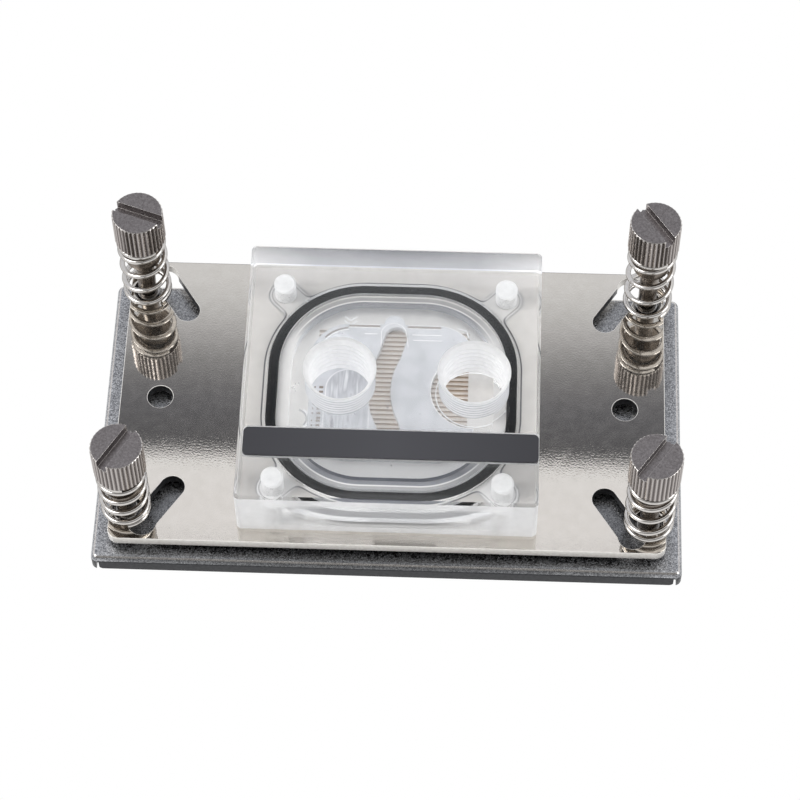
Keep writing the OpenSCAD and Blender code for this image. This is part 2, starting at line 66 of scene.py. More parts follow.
class Nodes:
    """The node tree of a material or a world."""

    def __init__(self, owner):
        owner.use_nodes = True
        self.tree = owner.node_tree
        self.tree.nodes.clear()

    def add(self, kind, values=None, **settings):
        """New node with its settings made and its inputs linked or filled."""
        node = self.tree.nodes.new("ShaderNode" + kind)
        for key, value in settings.items():
            setattr(node, key, value)
        for key, value in (values or {}).items():
            self.set(node.inputs[key], value)
        return node

    def set(self, socket, value):
        if isinstance(value, bpy.types.NodeSocket):
            self.tree.links.new(value, socket)
        elif hasattr(value, "__len__") and len(value) == 3 and socket.type == "RGBA":
            socket.default_value = (*value, 1)
        else:
            socket.default_value = value

    def shader(self, kind, values):
        return self.add(kind, values).outputs[0]

    def blend(self, share, first, second):
        """Two shaders, with the second's share."""
        return self.shader("MixShader", {0: share, 1: first, 2: second})

    def surface(self, shader, output="OutputMaterial"):
        self.add(output, {"Surface": shader})

    def ray(self, kind):
        return self.add("LightPath").outputs["Is " + kind + " Ray"]

    def bump(self, height, strength, distance):
        return self.add("Bump", {"Height": height, "Strength": strength, "Distance": distance}).outputs["Normal"]

    def math(self, operation, a, b=0.0, c=0.0):
        return self.add("Math", {0: a, 1: b, 2: c}, operation=operation).outputs[0]

    def mapped(self, value, low, high, start=0.3, end=0.7):
        """Low up to the start of the value's range, and high from its end on."""
        return self.add("MapRange", {"Value": value, "From Min": start, "From Max": end,
                                     "To Min": low, "To Max": high}).outputs["Result"]

    def rise(self, value, start, end):
        return self.mapped(value, 0.0, 1.0, start, end)

    def fade(self, value, start, end):
        return self.mapped(value, 1.0, 0.0, start, end)

    def line(self, value, middle, full, none):
        """1 within a distance of the middle, and 0 beyond a larger one."""
        return self.fade(self.math("ABSOLUTE", self.math("SUBTRACT", value, middle)), full, none)

    def noise(self, scale, detail=3, roughness=0.5, vector=None):
        return self.add("TexNoise", {"Vector": vector or self.coord(), "Scale": scale, "Detail": detail,
                                     "Roughness": roughness}).outputs["Fac"]

    def cells(self, scale, output):
        return self.add("TexVoronoi", {"Vector": self.coord(), "Scale": scale}).outputs[output]

    def ramp(self, factor, *stops):
        """Colours or greys at places from 0 to 1."""
        node = self.add("ValToRGB", {"Fac": factor})
        elements = node.color_ramp.elements
        while len(elements) < len(stops):
            elements.new(0.5)
        for element, (place, colour) in zip(elements, stops):
            element.position = place
            element.color = (*(colour if hasattr(colour, "__len__") else (colour,) * 3), 1)
        return node.outputs["Color"]

    def mixed(self, share, first, second):
        """Two colours, with the second's share."""
        return self.add("Mix", {0: share, 6: first, 7: second}, data_type="RGBA").outputs[2]

    def vector(self, operation, a, b=(0.0, 0.0, 0.0), output="Vector"):
        return self.add("VectorMath", {0: a, 1: b}, operation=operation).outputs[output]

    def scaled(self, colour, factor):
        return self.add("VectorMath", {0: colour, "Scale": factor}, operation="SCALE").outputs["Vector"]

    def coord(self):
        return self.add("TexCoord").outputs["Object"]

    def parts(self, vector=None):
        """X, Y and Z of a vector, or of the place on the object, in metres."""
        return self.add("SeparateXYZ", {"Vector": vector or self.coord()}).outputs

    def flat(self):
        """Place on the object in millimetres, without its height."""
        return self.vector("MULTIPLY", self.coord(), (1000.0, 1000.0, 0.0))

    def folded(self):
        """The same, with all four quarters laid on one."""
        return self.vector("ABSOLUTE", self.flat())

    def away(self, centre):
        """Distance from an upright axis, in millimetres."""
        return self.vector("DISTANCE", self.flat(), (*centre, 0.0), "Value")

    def outline(self, half, r):
        """Distance outside a rounded square's outline, in millimetres, negative inside it."""
        over = self.vector("SUBTRACT", self.folded(), (half - r, half - r, 0.0))
        far = self.vector("LENGTH", self.vector("MAXIMUM", over), output="Value")
        return self.math("SUBTRACT", far, r)

    def round_end(self, across, beyond, r):
        """Distance outside a round end, from the distances across it and beyond its centre."""
        squares = [self.math("MULTIPLY", d, d) for d in (across, beyond)]
        return self.math("SUBTRACT", self.math("SQRT", self.math("ADD", *squares)), r)


def material(name, build):
    made = bpy.data.materials.new(name)
    build(Nodes(made))
    return made


def metal(low, high, rough, scale, bump=0.1, fine_scale=None, bump_distance=1e-5, rim=1.0):
    """Grained metal between two tones. The rim is how bright it reflects at a glancing angle."""
    def build(n):
        grain = n.noise(scale, 4)
        fine = n.noise(fine_scale or scale * 2, 2)
        n.surface(n.shader("BsdfPrincipled", {
            "Base Color": n.ramp(grain, (0.32, low), (0.68, high)), "Metallic": 1.0,
            "Specular Tint": (rim, rim, rim), "Roughness": n.mapped(fine, *rough),
            "Normal": n.bump(fine, bump, bump_distance)}))
    return build


def nickel(n):
    """Mirror bright, with fine pimples and a faint bloom."""
    grain, fine = n.noise(500.0, 4), n.noise(2900.0, 2)
    tone = n.ramp(grain, (0.32, (0.70, 0.66, 0.605)), (0.68, (0.74, 0.70, 0.645)))
    mirror = n.shader("BsdfPrincipled", {
        "Base Color": tone, "Metallic": 1.0, "Roughness": n.mapped(fine, 0.012, 0.02),
        "Normal": n.bump(fine, 1.0, 1.25e-6)})
    bloom = n.shader("BsdfPrincipled", {"Base Color": tone, "Metallic": 1.0, "Roughness": n.mapped(fine, 0.3, 0.45)})
    n.surface(n.blend(n.mapped(grain, 0.04, 0.08), mirror, bloom))


def zinc(n):
    """Mottled crystals, with painted shade in the middle and at the front, where the bracket shades the sheet.
    Places are in metres here and in the finishes below, where they don't come from flat or folded."""
    crystal = n.add("SeparateColor", {"Color": n.cells(5200.0, "Color")}).outputs[0]
    mottle = n.math("ADD", n.math("MULTIPLY", crystal, 0.6), n.math("MULTIPLY", n.noise(2200.0, 5, 0.7), 0.4))
    tone = n.ramp(mottle, (0.2, (0.19, 0.192, 0.202)), (0.5, (0.34, 0.345, 0.36)), (0.8, (0.58, 0.59, 0.61)))
    place = n.parts()
    across = n.math("ABSOLUTE", place["X"])
    # Painted shade: the tone is darker between the screws and towards the front, where the bracket's shadow falls.
    inner = n.math("MULTIPLY", n.fade(across, 0.047, 0.0515), n.mapped(across, 1.0, 0.74, 0.018, 0.036))
    ahead = n.fade(place["Y"], -0.026, 0.012)
    painted_shade_factor = n.math("SUBTRACT", 1.0, n.math("MULTIPLY", n.math("MULTIPLY", inner, ahead), 0.62))
    n.surface(n.shader("BsdfPrincipled", {
        "Base Color": n.scaled(tone, painted_shade_factor), "Metallic": 1.0, "Roughness": n.mapped(crystal, 0.18, 0.45, 0.0, 1.0),
        "Normal": n.bump(mottle, 1.0, 2.5e-5)}))


def knurl(corner):
    """Painted shade in the grooves and a painted highlight on the ridges, from the distance to the screw's axis."""
    def build(n):
        ridge = n.rise(n.away(SCREWS[corner][:2]), HEAD_R - KNURL_DEPTH, HEAD_R)
        grain = n.noise(6000.0, 3)
        # Painted shade darkens the grooves and a painted highlight lightens the ridges.
        n.surface(n.shader("BsdfPrincipled", {
            "Base Color": n.ramp(ridge, (0.0, (0.075, 0.062, 0.058)), (0.35, (0.17, 0.148, 0.14)),
                                 (0.7, (0.40, 0.365, 0.35)), (1.0, (0.60, 0.56, 0.54))),
            "Metallic": 1.0, "Roughness": n.mapped(grain, 0.2, 0.34), "Normal": n.bump(grain, 0.4, 6e-6)}))
    return build


def whitish(n):
    return n.ramp(n.noise(700.0, 3), (0.3, (0.90, 0.905, 0.915)), (0.7, (0.97, 0.97, 0.98)))


def plain(colour):
    return lambda n: n.ramp(n.noise(700.0, 3), (0.3, tuple(0.94 * c for c in colour)), (0.7, colour))


def threads(n):
    """White crests and roots greyed by painted shade, from the distance to the nearer port's axis, and a white mouth.
    """
    near = n.math("MINIMUM", *[n.away(centre) for centre in PORTS])
    # Painted shade greys the thread roots.
    turns = n.ramp(n.rise(near, PORT_CREST_R, PORT_R), (0.0, WHITE), (0.7, (0.99, 0.99, 1.0)),
                   (0.92, (0.80, 0.81, 0.83)), (1.0, (0.62, 0.63, 0.65)))
    mouth = n.rise(n.parts()["Z"], (BLOCK_TOP - 1.3) * MM, (BLOCK_TOP - 1.1) * MM)
    return n.mixed(mouth, turns, WHITE)


def underside(n):
    """Grey and white bands beside the seal groove, and a dark line of painted shade along the edge of the boss below.
    """
    far = n.outline(SEAL_W / 2, SEAL_R)
    bands = n.ramp(n.rise(far, -4.0, 6.0),
                   (0.0, (0.22, 0.23, 0.265)), (0.14, (0.32, 0.335, 0.38)), (0.15, WHITE), (0.17, WHITE),
                   (0.18, (0.50, 0.505, 0.52)), (0.25, (0.58, 0.585, 0.60)), (0.262, WHITE), (0.30, WHITE),
                   (0.5, (0.80, 0.79, 0.775)), (0.60, (0.90, 0.90, 0.905)), (1.0, (0.96, 0.96, 0.97)))
    folded = n.folded()
    beside = n.math("MULTIPLY", n.fade(n.parts(folded)["Y"], 11.0, 17.0), n.fade(far, -1.0, -0.8))
    bands = n.mixed(beside, bands, (0.97, 0.97, 0.98))

    # The boss is a rounded square that runs out to a round ear at each of its screws, on the diagonals.
    half_root, ear_r, fillet = math.sqrt(0.5), 2.45, 2.2
    along, across = (n.vector("DOT_PRODUCT", folded, (half_root, side * half_root, 0.0), "Value") for side in (1, -1))
    beyond = n.math("MAXIMUM", n.math("SUBTRACT", along, TAPPED_AT * math.sqrt(2)), 0.0)
    body = n.outline(BOSS_W / 2, BOSS_R)
    boss = n.math("SMOOTH_MIN", body, n.round_end(beyond, across, ear_r), fillet)
    # Painted shade: the dark line stands for the gap along the boss's edge.
    edge = n.math("MULTIPLY", n.line(boss, 0.12, 0.06, 0.2), n.mapped(body, 1.0, 0.5, 0.3, 1.4))
    return n.mixed(edge, bands, (0.24, 0.24, 0.26))


def rear(n):
    """Painted reflection: blue-grey in the middle and near the top edge, lighter at the corners."""
    place = n.parts()
    across = n.ramp(n.rise(n.math("ABSOLUTE", place["X"]), 0.0, 0.028), (0.0, (0.40, 0.42, 0.47)),
                    (0.55, (0.46, 0.48, 0.53)), (0.85, (0.72, 0.73, 0.76)), (1.0, (0.9, 0.9, 0.92)))
    high = n.math("ADD", n.mapped(place["Z"], 1.55, 0.62, 0.005, 0.0155),
                  n.mapped(place["Z"], 1.2, 0.0, 0.0049, 0.0054))
    return n.scaled(across, high)


def haze_and_painted_reflection(n):
    """Share of white scatter in the front face, partly a matt haze and partly a painted reflection: most under the
    top edge and beside the flow chamber.
    """
    place = n.parts()
    high = n.ramp(n.rise(place["Z"], PLATE_TOP * MM, BLOCK_TOP * MM), (0.0, 0.5), (0.16, 0.46), (0.22, 0.28),
                  (0.36, 0.28), (0.46, 0.34), (0.72, 0.36), (0.82, 0.74), (1.0, 0.78))
    return n.math("MAXIMUM", high, n.mapped(n.math("ABSOLUTE", place["X"]), 0.0, 0.75, 0.0165, 0.0225))


def walls(n):
    """Painted shade: dark at the back and the front of the flow chamber, light at its sides."""
    return n.ramp(n.rise(n.math("ABSOLUTE", n.parts()["Y"]), 0.008, 0.0185), (0.0, (0.95, 0.95, 0.96)),
                  (0.3, (0.60, 0.61, 0.64)), (0.6, (0.28, 0.29, 0.32)), (1.0, (0.11, 0.12, 0.15)))


def acrylic(veil, rough, scale=60.0, white=whitish, through=0.5):
    """Clear plastic. The veil is the share of white scatter in faces that the cutter left matt, as a number or a
    function of the place, and through is the part of that scatter that passes the face."""
    def build(n):
        grain = n.noise(scale, 3)
        made = n.shader("BsdfPrincipled", {
            "Base Color": n.ramp(grain, (0.3, (0.975, 0.985, 0.985)), (0.7, (0.985, 0.99, 0.99))),
            "Roughness": n.mapped(grain, *rough), "IOR": 1.49, "Transmission Weight": 1.0})
        if veil:
            colour = {"Color": white(n)}
            scatter = n.blend(through, n.shader("BsdfDiffuse", colour), n.shader("BsdfTranslucent", colour))
            share = veil(n) if callable(veil) else n.mapped(grain, veil * 0.95, veil * 1.03)
            made = n.blend(share, made, scatter)
        shadow = n.shader("BsdfTransparent", {"Color": (0.93, 0.93, 0.93)})
        n.surface(n.blend(n.ray("Shadow"), made, shadow))
    return build


def jet_plastic(n):
    """Pale plastic with soft swirls, and a channel with streaks, darkened by painted shade, that runs forward from
    under the left port, with a painted highlight along its edge.
    """
    channel_x, channel_y, channel_half, channel_r = -8.35, -2.7, 5.7, 4.1
    grain = n.noise(260.0, 4)
    place = n.parts(n.flat())
    side = n.math("SUBTRACT", place["X"], channel_x)
    along = n.math("ABSOLUTE", n.math("SUBTRACT", place["Y"], channel_y))
    far = n.round_end(side, n.math("MAXIMUM", n.math("SUBTRACT", along, channel_half), 0.0), channel_r)
    streaks = n.noise(1.0, 2, 0.5, n.vector("MULTIPLY", n.flat(), (0.7, 0.1, 0.0)))
    # Painted shade darkens the channel under the left port.
    channel = n.ramp(streaks, (0.3, (0.30, 0.305, 0.32)), (0.42, (0.60, 0.61, 0.64)),
                     (0.55, (0.46, 0.47, 0.50)), (0.7, (0.80, 0.81, 0.83)))
    around = n.ramp(grain, (0.3, (0.50, 0.51, 0.535)), (0.5, (0.60, 0.61, 0.64)), (0.7, (0.65, 0.66, 0.69)))
    tone = n.mixed(n.fade(far, -0.15, 0.05), around, channel)
    # A painted highlight along the channel's edge.
    tone = n.mixed(n.line(far, 0.15, 0.03, 0.16), tone, (0.78, 0.78, 0.80))
    n.surface(n.shader("BsdfPrincipled", {
        "Base Color": tone, "Roughness": n.mapped(grain, 0.35, 0.45), "IOR": 1.45,
        "Normal": n.bump(grain, 0.1, 1e-5)}))


def plastic(low, high):
    def build(n):
        grain = n.noise(900.0, 3)
        n.surface(n.shader("BsdfPrincipled", {
            "Base Color": n.ramp(grain, (0.3, low), (0.7, high)), "Roughness": n.mapped(grain, 0.35, 0.5)}))
    return build


def cold(n):
    """Plated copper, browner where the fins are cut, and paler and less metallic ahead of them, a painted reflection
    of the strip's frosted recess.
    """
    soft = 0.1
    grain = n.noise(400.0, 3)
    place = n.parts(n.folded())
    fins = n.math("MULTIPLY", n.fade(place["X"], FIN_FIELD_W / 2 - soft, FIN_FIELD_W / 2 + soft),
                  n.fade(place["Y"], FIN_FIELD_D / 2 - soft, FIN_FIELD_D / 2 + soft))
    tone = n.mixed(fins, n.ramp(grain, (0.3, (0.76, 0.74, 0.71)), (0.7, (0.86, 0.84, 0.81))),
                   n.ramp(grain, (0.3, (0.66, 0.60, 0.54)), (0.7, (0.80, 0.74, 0.68))))
    # Painted reflection: near white ahead of the fins.
    ahead = n.fade(n.parts(n.flat())["Y"], -14.5, -13.5)
    n.surface(n.shader("BsdfPrincipled", {
        "Base Color": n.mixed(ahead, tone, (0.95, 0.94, 0.93)), "Metallic": n.mapped(ahead, 1.0, 0.25, 0.0, 1.0),
        "Roughness": n.mapped(grain, 0.3, 0.42), "Normal": n.bump(grain, 0.1, 1e-5)}))


def rubber(n):
    """Black, with pale specks."""
    n.surface(n.shader("BsdfPrincipled", {
        "Base Color": n.ramp(n.cells(1500.0, "Distance"), (0.0, 0.3), (0.12, 0.012), (0.2, 0.006)),
        "Specular IOR Level": 0.15, "Roughness": n.mapped(n.noise(900.0), 0.35, 0.5)}))


def dark_plastic(n):
    """Satin, with a painted sheen that makes the middle of the strip a little lighter."""
    end, middle = (0.03, 0.03, 0.036), (0.052, 0.052, 0.06)
    grain = n.noise(1500.0, 4)
    # Painted sheen: lighter in the middle of the strip.
    n.surface(n.shader("BsdfPrincipled", {
        "Base Color": n.ramp(n.rise(n.parts()["X"], -0.028, 0.028), (0.0, end), (0.5, middle), (1.0, end)),
        "Roughness": n.mapped(grain, 0.3, 0.42), "Normal": n.bump(grain, 0.1, 1e-5)}))


MATERIALS = {
    "clear_top": material("clear acrylic", acrylic(0.0, (0.0, 0.012))),
    "frost": material("threaded acrylic", acrylic(0.88, (0.1, 0.2), 900.0, threads, 0.55)),
    "tapped": material("tapped acrylic", acrylic(0.95, (0.1, 0.2), 900.0, plain(WHITE), 0.1)),
    "side": material("matt acrylic side", acrylic(0.85, (0.1, 0.15), 300.0, plain((0.99, 0.995, 1.0)), 0.8)),
    "rear": material("milled acrylic rear", acrylic(0.6, (0.1, 0.16), 300.0, rear)),
    # The front face's white share is partly a painted reflection.
    "front": material("milled acrylic front", acrylic(haze_and_painted_reflection, (0.0, 0.01), 300.0, plain(WHITE), 0.1)),
    "under": material("matt acrylic underside", acrylic(0.68, (0.12, 0.18), 300.0, underside)),
    "milled": material("milled acrylic", acrylic(0.25, (0.02, 0.04), 300.0)),
    "wall": material("milled acrylic wall", acrylic(0.84, (0.05, 0.1), 300.0, walls)),
    "lit": material("white acrylic edge", acrylic(0.9, (0.1, 0.15), 300.0, plain(WHITE), 0.7)),
    "trim": material("dark plastic", dark_plastic),
    "seal": material("rubber", rubber),
    "jet_plate": material("jet plate plastic", jet_plastic),
    # Painted highlight: white on the jet plate's bevels and along the white outline strokes.
    "rim": material("jet plate rim", plastic((0.92, 0.92, 0.93), WHITE)),
    "mark": material("jet plate gap", plastic((0.20, 0.17, 0.15), (0.30, 0.26, 0.23))),
    "shade": material("jet plate shadow", plastic((0.40, 0.40, 0.41), (0.52, 0.52, 0.53))),
    "cold_plate": material("cold plate nickel", cold),
    "groove": material("fin groove nickel", metal((0.56, 0.48, 0.41), (0.64, 0.55, 0.47), (0.45, 0.55), 900.0)),
    "bracket": material("bright nickel", nickel),
    # Painted highlight on the bracket's sheared edges, which are also matt: lighter than the nickel itself.
    "lit_sheared": material("sheared nickel edge",
                        metal((0.84, 0.81, 0.77), (0.96, 0.94, 0.90), (0.4, 0.55), 1500.0, 0.4)),
    # Painted shade: the bracket's slot and hole walls and its short ends, near black.
    "inner": material("dark inner edge", metal((0.05, 0.05, 0.052), (0.10, 0.10, 0.104), (0.3, 0.4), 1500.0, 0.3)),
    # Painted shade: the tray's upright faces and the bracket's back bevel, near black.
    "flange": material("dark zinc edge",
                       metal((0.026, 0.027, 0.03), (0.045, 0.046, 0.05), (0.3, 0.42), 1800.0, 0.3)),
    "back_plate": material("mottled zinc", zinc),
    "base_screw": material("zinc screw", metal((0.5, 0.5, 0.5), (0.65, 0.65, 0.65), (0.25, 0.35), 1500.0)),
    "post": material("turned steel", metal((0.42, 0.41, 0.40), (0.55, 0.54, 0.53), (0.2, 0.35), 1500.0)),
    "thumbscrew": material("dark nickel", metal((0.17, 0.155, 0.155), (0.27, 0.25, 0.25), (0.24, 0.36), 2500.0,
                                                0.6, 6000.0, 1.2e-5)),
    # Painted highlight on eased edges: the thumbscrews' head bevels and the tray's upper bevels, lighter than the
    # metal.
    "lit_edge": material("highlighted nickel edge", metal((0.5, 0.47, 0.45), (0.8, 0.77, 0.74), (0.2, 0.3), 3000.0, 0.3)),
    "collar": material("dark bronze", metal((0.17, 0.145, 0.125), (0.26, 0.225, 0.19), (0.2, 0.3), 2500.0, 0.3)),
    "spring": material("spring steel",
                       metal((0.62, 0.595, 0.57), (0.72, 0.695, 0.67), (0.1, 0.16), 1500.0, 0.2, rim=0.1)),
}


# The mesh helpers work in millimetres.
def rounded_loop(w, d, r, z, centre=(0.0, 0.0), steps=16, corners=(True,) * 4):
    """Outline of a rectangle. The corners tell which are rounded, anticlockwise from the one at +X and +Y."""
    points = []
    for k, (sx, sy) in enumerate(((1, 1), (-1, 1), (-1, -1), (1, -1))):
        if corners[k]:
            cx, cy = sx * (w / 2 - r), sy * (d / 2 - r)
            for i in range(steps + 1):
                a = math.radians(90 * k + 90 * i / steps)
                points.append((centre[0] + cx + r * math.cos(a), centre[1] + cy + r * math.sin(a), z))
        else:
            points.append((centre[0] + sx * w / 2, centre[1] + sy * d / 2, z))
    return points


def square_loop(w, r, z, steps=16):
    return rounded_loop(w, w, r, z, steps=steps)


def circle_loop(r, z, centre, steps=96):
    return [(centre[0] + r * math.cos(2 * math.pi * i / steps), centre[1] + r * math.sin(2 * math.pi * i / steps), z)
            for i in range(steps)]


def lofted(loops, ring=False):
    """Vertices and faces of a stack of loops with the same count. A ring joins the last to the first, and any other
    stack is capped at both ends."""
    count, layers = len(loops[0]), len(loops)
    verts = [point for loop in loops for point in loop]
    faces = []
    for j in range(layers if ring else layers - 1):
        low, high = j * count, (j + 1) % layers * count
        for i in range(count):
            n = (i + 1) % count
            faces.append((low + i, low + n, high + n, high + i))
    if not ring:
        faces.append(tuple(range(count - 1, -1, -1)))
        faces.append(tuple((layers - 1) * count + i for i in range(count)))
    return verts, faces


def thread_tap(centre, root_r, crest_r, pitch, z0, z1, steps=96):
    """Solid with a right-hand thread on it, to be cut out of a block."""
    profile = ((0.0, crest_r), (0.14, crest_r), (0.5, root_r), (0.64, root_r), (1.0, crest_r))
    m = len(profile) - 1
    per = (int((z1 - z0) / pitch) + 3) * m

    def radius(z, angle):
        """Where the thread stands at a height, for the points that an end of the solid cuts off."""
        u = ((z - z0) / pitch - angle / (2 * math.pi)) % 1.0
        for (a, ra), (b, rb) in zip(profile, profile[1:]):
            if u <= b:
                return ra + (rb - ra) * (u - a) / (b - a)

    verts, faces = [], []
    for i in range(steps):
        angle = 2 * math.pi * i / steps
        for k in range(per):
            z = z0 + pitch * (k // m - 1 + profile[k % m][0] + angle / (2 * math.pi))
            r = profile[k % m][1]
            if z < z0 or z > z1:
                z = min(max(z, z0), z1)
                r = radius(z, angle)
            verts.append((centre[0] + r * math.cos(angle), centre[1] + r * math.sin(angle), z))
    for i in range(steps):
        for k in range(per - 1):
            a = i * per + k
            if i < steps - 1:
                faces.append((a, a + per, a + per + 1, a + 1))
            elif k + m < per - 1:
                faces.append((a, k + m, k + m + 1, a + 1))
    return verts, faces


def linked(name, bm):
    """Object made of a bmesh, which is freed."""
    data = bpy.data.meshes.new(name)
    bm.to_mesh(data)
    bm.free()
    obj = bpy.data.objects.new(name, data)
    bpy.context.scene.collection.objects.link(obj)
    return obj


def mesh_object(name, verts, faces, cap=False):
    """Object in metres, from places in millimetres. Cap closes the open ends of a thread."""
    bm = bmesh.new()
    made = [bm.verts.new(v) for v in verts]
    for face in faces:
        bm.faces.new([made[i] for i in face])
    bmesh.ops.remove_doubles(bm, verts=bm.verts, dist=1e-4)
    if cap:
        bmesh.ops.holes_fill(bm, edges=[e for e in bm.edges if e.is_boundary], sides=0)
    bmesh.ops.recalc_face_normals(bm, faces=bm.faces)
    bmesh.ops.scale(bm, vec=(MM,) * 3, verts=bm.verts)
    return linked(name, bm)


def cut(obj, cutters):
    """Takes each cutter out of the object in turn, and deletes it."""
    for cutter in cutters:
        modifier = obj.modifiers.new("cut", "BOOLEAN")
        modifier.operation, modifier.solver, modifier.object = "DIFFERENCE", "EXACT", cutter
        graph = bpy.context.evaluated_depsgraph_get()
        done = bpy.data.meshes.new_from_object(obj.evaluated_get(graph))
        obj.modifiers.clear()
        obj.data = done
        bpy.data.objects.remove(cutter)


def finished(obj, body, slot, node, angle=30):
    """Smooths the mesh up to an angle in degrees, and gives the piece its body, its slot and the node it replaces."""
    if not obj.data.materials:
        obj.data.materials.append(MATERIALS[slot])
    for polygon in obj.data.polygons:
        polygon.use_smooth = True
    obj.data.set_sharp_from_angle(angle=math.radians(angle))
    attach(obj, body)
    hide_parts(node)


def remade(node, name, body, slot, bevel, lift=None, paint=None):
    """Copy of a CAD node with its sharp edges eased by a small bevel, in millimetres."""
    same_plane, sharp = math.radians(0.6), math.radians(35)
    bm = bmesh.new()
    bm.from_mesh(NODES[node].data)
    bmesh.ops.remove_doubles(bm, verts=bm.verts, dist=1e-6)
    bmesh.ops.dissolve_limit(bm, angle_limit=same_plane, verts=bm.verts, edges=bm.edges)
    if lift:
        for v in bm.verts:
            v.co.z = lift(v.co / MM) * MM
    if bevel:
        edges = [e for e in bm.edges if len(e.link_faces) == 2 and e.calc_face_angle(0) > sharp]
        bmesh.ops.bevel(bm, geom=edges, offset=bevel * MM, segments=2, profile=0.5, affect="EDGES",
                        clamp_overlap=True)
    obj = linked(name, bm)
    obj.data.materials.append(MATERIALS[slot])
    if paint:
        paint(obj)
    obj.modifiers.new("weighted", "WEIGHTED_NORMAL").keep_sharp = True
    finished(obj, body, slot, node)
    return obj


def painter(*rules):
    """Gives each polygon the material of the first rule that holds for its centre, in millimetres, and its normal."""
    def paint(obj):
        first = len(obj.data.materials)
        for finish, _ in rules:
            obj.data.materials.append(finish)
        for polygon in obj.data.polygons:
            for k, (_, holds) in enumerate(rules):
                if holds(polygon.center / MM, polygon.normal):
                    polygon.material_index = first + k
                    break
    return paint


def outside(c, half, r):
    """Distance of a place outside a rounded square's outline."""
    return math.hypot(max(abs(c.x) - half + r, 0), max(abs(c.y) - half + r, 0)) - r


def face_slot(c, normal, low):
    """The finish of one face of the clear top, from its centre in millimetres and its normal."""
    near, mouth_w, groove_in = 0.01, 0.3, 1.3
    up, above, edge = abs(normal.z), c.z > low + near, BLOCK_W / 2 - 0.7
    port = min(math.dist(c[:2], centre) for centre in PORTS)
    tap = math.hypot(abs(c.x) - TAPPED_AT, abs(c.y) - TAPPED_AT)
    if port < PORT_R + mouth_w and CHAMBER_TOP - 0.15 < c.z < BLOCK_TOP - 1e-3:
        return "frost"
    if tap < TAPPED_R + 0.05 and above:
        return "tapped"
    if max(abs(c.x), abs(c.y)) > edge and c.z < BLOCK_TOP - 0.1 and above:
        if 0.3 < up < 0.9:  # a chamfer
            return "lit" if c.z < low + 1 else "clear_top"
        return "front" if c.y < -edge else "rear" if c.y > edge else "side"
    if not above:
        return "under"
    if normal.z < -0.9 and abs(c.z - CHAMBER_TOP) < near:
        return "milled"
    if up < 0.1 and c.z > STRIP[4]:  # a side of the strip's recess
        return "lit"
    if up < 0.1 and c.z < CHAMBER_TOP:  # a side of the seal groove, or of the flow chamber
        seal = outside(c, SEAL_W / 2, SEAL_R)
        return "lit" if -groove_in < seal < 0 else "clear_top" if seal > 0 else "wall"
    return "clear_top"


def build_top():
    """Block with its flow chamber, threaded ports, tapped columns, seal groove and the recess of the strip."""
    beyond = 1  # how far a cutter passes the face that it cuts
    low = PLATE_TOP + SEAT
    chamfered = BLOCK_W - 2 * BLOCK_CHAMFER, 0.6
    top = mesh_object("clear_top", *lofted([
        square_loop(*chamfered, low), square_loop(BLOCK_W, BLOCK_CORNER_R, low + BLOCK_CHAMFER),
        square_loop(BLOCK_W, BLOCK_CORNER_R, BLOCK_TOP - BLOCK_CHAMFER), square_loop(*chamfered, BLOCK_TOP)]))
    cutters = [mesh_object("chamber", *lofted([
        square_loop(CHAMBER_W, CHAMBER_R, z, 32) for z in (PLATE_TOP - beyond, CHAMBER_TOP)]))]
    for centre in PORTS:
        cutters.append(mesh_object("port", *thread_tap(
            centre, PORT_R, PORT_CREST_R, PORT_PITCH, CHAMBER_TOP - beyond, BLOCK_TOP + beyond), cap=True))
        cutters.append(mesh_object("mouth", *lofted([
            circle_loop(r, BLOCK_TOP + high, centre) for r, high in PORT_MOUTH])))
    for sx, sy in ((-1, -1), (-1, 1), (1, -1), (1, 1)):
        cutters.append(mesh_object("tapped", *thread_tap(
            (sx * TAPPED_AT, sy * TAPPED_AT), TAPPED_R, TAPPED_CREST_R, TAPPED_PITCH, PLATE_TOP - beyond,
            TAPPED_TOP, 40), cap=True))
    half = SEAL_CORD_W / 2 + SEAL_PLAY
    section = ((half, -beyond), (half, SEAL_CORD_H), (-half, SEAL_CORD_H), (-half, -beyond))
    cutters.append(mesh_object("groove", *lofted([
        square_loop(SEAL_W + 2 * out, SEAL_R + out, PLATE_TOP + z, 40) for out, z in section], ring=True)))

    # The recess is open at the block's right side.
    x0, _, y0, y1, z0 = STRIP
    end_play, side_play = 0.1, 0.2
    left, right = x0 - end_play, BLOCK_W / 2 + beyond
    width, depth, centre = right - left, y1 - y0 + 2 * side_play, ((right + left) / 2, (y0 + y1) / 2)
    cutters.append(mesh_object("recess", *lofted([
        rounded_loop(width, depth, STRIP_CORNER_R + end_play, z, centre, corners=(False, True, True, False))
        for z in (z0, BLOCK_TOP + beyond)])))
    cut(top, cutters)
    top.data.materials.clear()
    slots = ("clear_top", "frost", "tapped", "side", "rear", "front", "under", "milled", "wall", "lit")
    for slot in slots:
        top.data.materials.append(MATERIALS[slot])
    for polygon in top.data.polygons:
        polygon.material_index = slots.index(face_slot(polygon.center / MM, polygon.normal, low))
    finished(top, "block", "clear_top", "top_block", 25)


def build_trim():
    x0, x1, y0, y1, z0 = STRIP
    ease, centre = 0.05, ((x0 + x1) / 2, (y0 + y1) / 2)
    strip = mesh_object("trim", *lofted([
        rounded_loop(x1 - x0 - 2 * inset, y1 - y0 - 2 * inset, STRIP_CORNER_R - inset, z, centre)
        for inset, z in ((0.0, z0 + SEAT), (0.0, BLOCK_TOP - ease), (ease, BLOCK_TOP))]))
    finished(strip, "block", "trim", "trim_strip")


